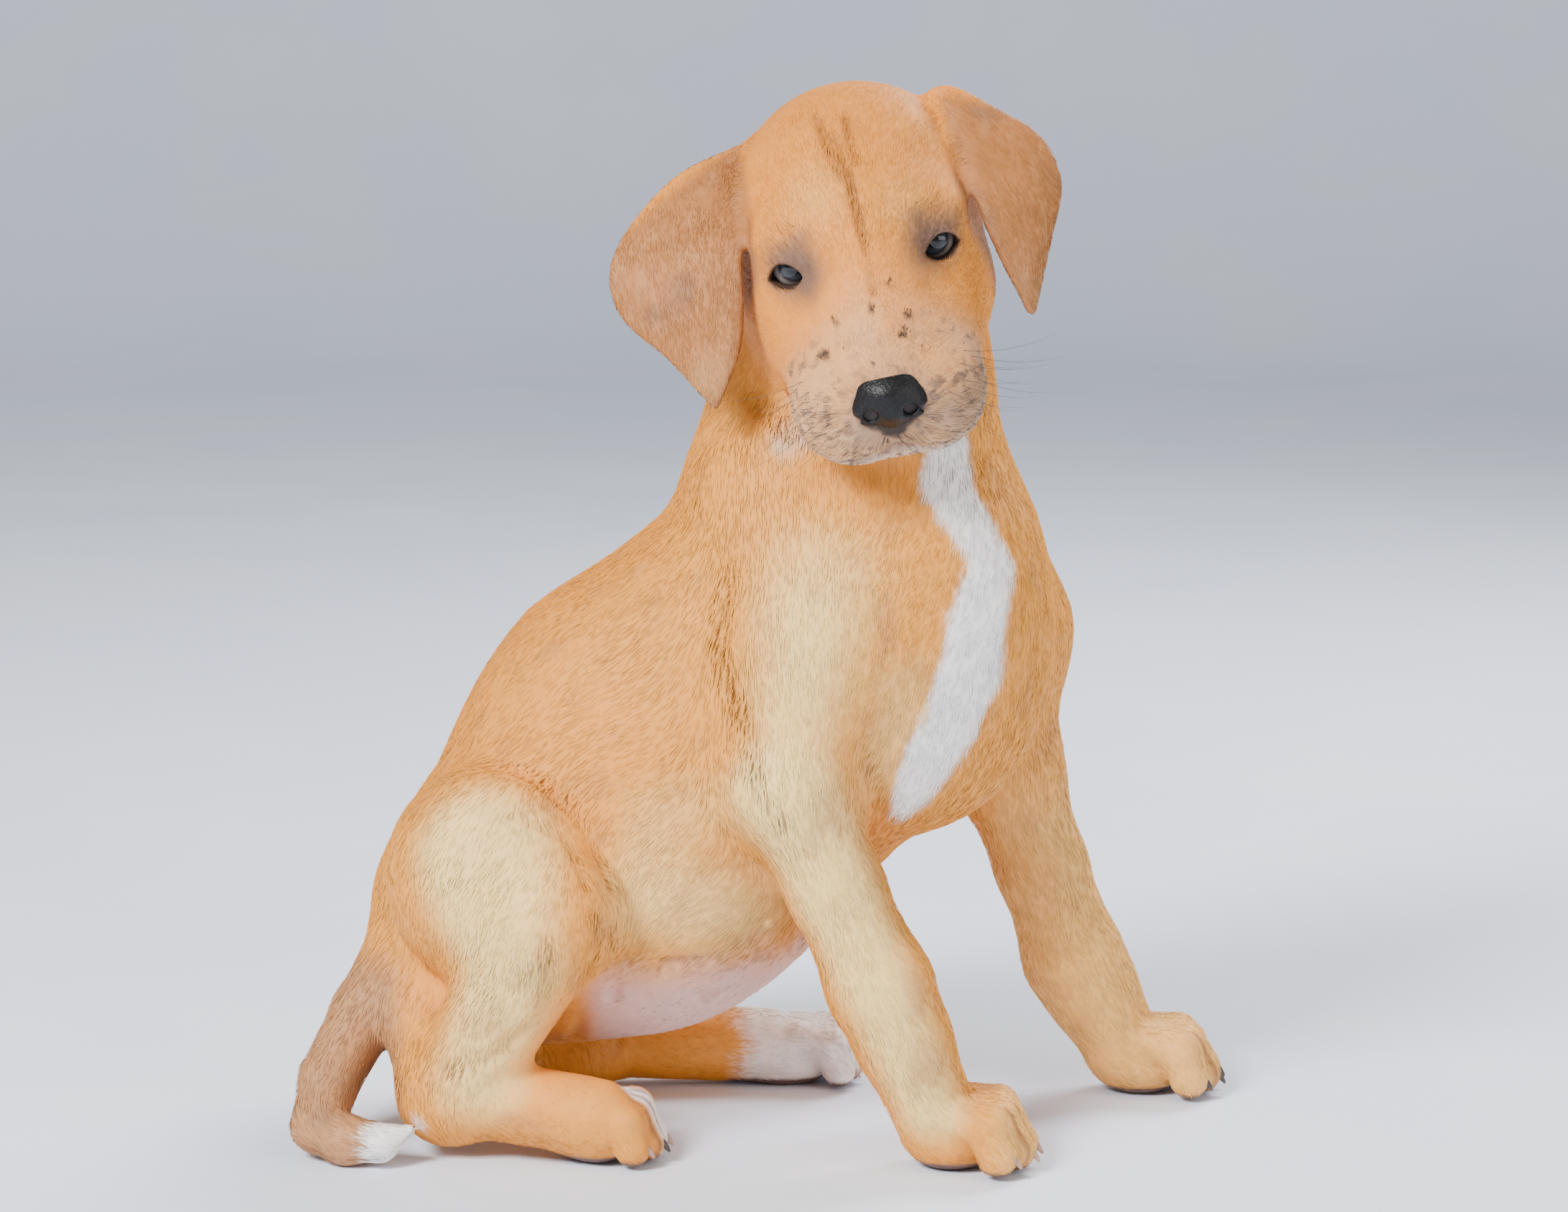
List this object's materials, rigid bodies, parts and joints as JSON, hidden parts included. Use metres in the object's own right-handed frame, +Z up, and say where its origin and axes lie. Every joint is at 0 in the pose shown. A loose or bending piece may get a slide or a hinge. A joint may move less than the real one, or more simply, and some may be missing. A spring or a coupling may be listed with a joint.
{
  "type": "great dane puppy model",
  "caption": "Still, life-size model of a fawn great dane puppy sitting on the floor with its head turned and bowed and its tail curled beside it.",
  "frame": {"origin": "middle of the model's bounding box at the floor it sits on", "axes": "+Z up, +X the way the body and front paws point, +Y to the dog's left"},
  "size_m": [0.4182, 0.2268, 0.4613],
  "materials": {
    "coat_fawn": "short flat golden fawn coat",
    "coat_light": "short flat cream fawn coat",
    "coat_ear": "short brown coat on a thin ear flap",
    "coat_white": "short white coat",
    "nose": "dark moist nose leather",
    "eye": "dark wet glossy eye",
    "claw": "smooth brown horn"
  },
  "bodies": {
    "root": {"tail": "coat_fawn", "tail_tip": "coat_white", "head": "coat_fawn", "neck": "coat_fawn", "paw_fore_right": "coat_fawn", "paw_fore_left": "coat_fawn", "foreleg_right": "coat_fawn", "foreleg_left": "coat_fawn", "paw_hind_right": "coat_light", "paw_hind_left": "coat_white", "hock_right": "coat_fawn", "hock_left": "coat_fawn", "thigh_right": "coat_fawn", "thigh_left": "coat_fawn", "shoulder_right": "coat_fawn", "shoulder_left": "coat_fawn", "torso": "coat_light", "nose": "nose", "eye_right": "eye", "ear_right": "coat_ear", "eye_left": "eye", "ear_left": "coat_ear", "claw_fore_right_1": "claw", "claw_fore_right_2": "claw", "claw_fore_right_3": "claw", "claw_fore_right_4": "claw", "claw_fore_left_1": "claw", "claw_fore_left_2": "claw", "claw_fore_left_3": "claw", "claw_fore_left_4": "claw", "claw_hind_right_1": "claw", "claw_hind_right_2": "claw", "claw_hind_right_3": "claw", "claw_hind_right_4": "claw", "claw_hind_left_1": "claw", "claw_hind_left_2": "claw", "claw_hind_left_3": "claw", "claw_hind_left_4": "claw"}
  },
  "joints": []
}
